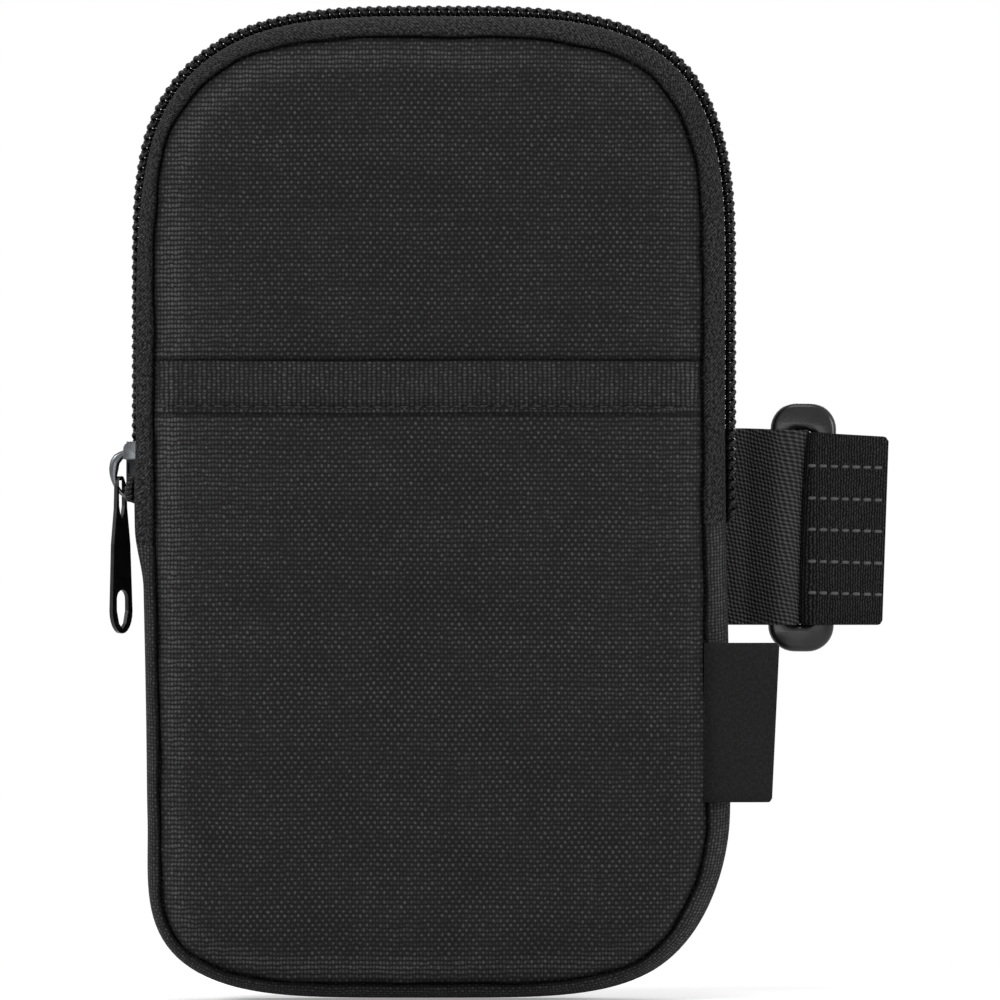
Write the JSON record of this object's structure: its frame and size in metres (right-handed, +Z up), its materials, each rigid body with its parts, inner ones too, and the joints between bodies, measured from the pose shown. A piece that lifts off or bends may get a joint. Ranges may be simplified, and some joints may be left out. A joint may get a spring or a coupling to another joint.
{
  "type": "bottle pouch",
  "caption": "Flat padded zip pouch with a front slip pocket and an elastic hook-and-loop strap that holds it against a drinking bottle.",
  "frame": {"origin": "middle of the back panel's flat outer face, which lies against the bottle", "axes": "+X to the right seen from the front, +Y out of the back panel, +Z up along the pouch"},
  "size_m": [0.153, 0.0415, 0.1951],
  "materials": {
    "shell_fabric": "black plain-weave polyester, matt",
    "foam": "grey closed-cell foam",
    "lining": "fine black lining cloth",
    "binding_tape": "black woven seam tape",
    "zip_tape": "black twill zip tape",
    "zip_coil": "black nylon coil",
    "slider_metal": "gunmetal lacquer",
    "webbing": "black coarse webbing",
    "ring_plastic": "black moulded plastic, satin",
    "elastic": "black woven elastic",
    "hook_and_loop": "black hook and loop tape",
    "label_tape": "black satin woven tag, bare"
  },
  "bodies": {
    "root": {"back_panel": "shell_fabric", "back_padding": "foam", "back_lining": "lining", "front_panel": "shell_fabric", "front_padding": "foam", "front_lining": "lining", "pocket_panel": "shell_fabric", "pocket_binding": "shell_fabric", "bottom_gusset": "shell_fabric", "gusset_lining": "lining", "seam_binding_rear": "binding_tape", "seam_binding_front": "binding_tape", "zip_tape_rear": "zip_tape", "zip_tape_front_left": "zip_tape", "zip_tape_front_right": "zip_tape", "zip_coil_rear": "zip_coil", "zip_coil_front_left": "zip_coil", "zip_coil_front_right": "zip_coil", "webbing_tab": "webbing", "elastic_band": "elastic", "loop_patch": "hook_and_loop", "side_label": "label_tape"},
    "flap": {"flap_panel": "shell_fabric", "flap_padding": "foam", "flap_lining": "lining", "zip_tape_flap": "zip_tape", "zip_coil_flap": "zip_coil", "seam_binding_flap": "binding_tape"},
    "slider": {"zip_slider": "slider_metal"},
    "pull": {"pull_tab": "slider_metal"},
    "ring": {"strap_ring": "ring_plastic", "band_wrap": "elastic"},
    "free_end": {"strap_end": "elastic", "hook_patch": "hook_and_loop"}
  },
  "joints": [
    {"name": "zip_slide", "type": "slide", "parent": "root", "child": "slider", "axis": [0, 0, 1], "range_m": [0, 0.04]},
    {"name": "pull_swing", "type": "hinge", "parent": "slider", "child": "pull", "pos_m": [-0.0618, -0.011, 0.0044], "axis": [0, 1, 0], "range_deg": [0, 120]},
    {"name": "flap_open", "type": "hinge", "parent": "root", "child": "flap", "pos_m": [0, -0.0249, 0.06], "axis": [1, 0, 0], "range_deg": [0, 60]},
    {"name": "ring_swivel", "type": "hinge", "parent": "root", "child": "ring", "pos_m": [0.0683, 0.0008, -0.0053], "axis": [0, 0, -1], "range_deg": [0, 30]},
    {"name": "strap_peel", "type": "hinge", "parent": "ring", "child": "free_end", "pos_m": [0.0773, -0.0024, -0.0053], "axis": [0, 0, -1], "range_deg": [0, 120]}
  ]
}
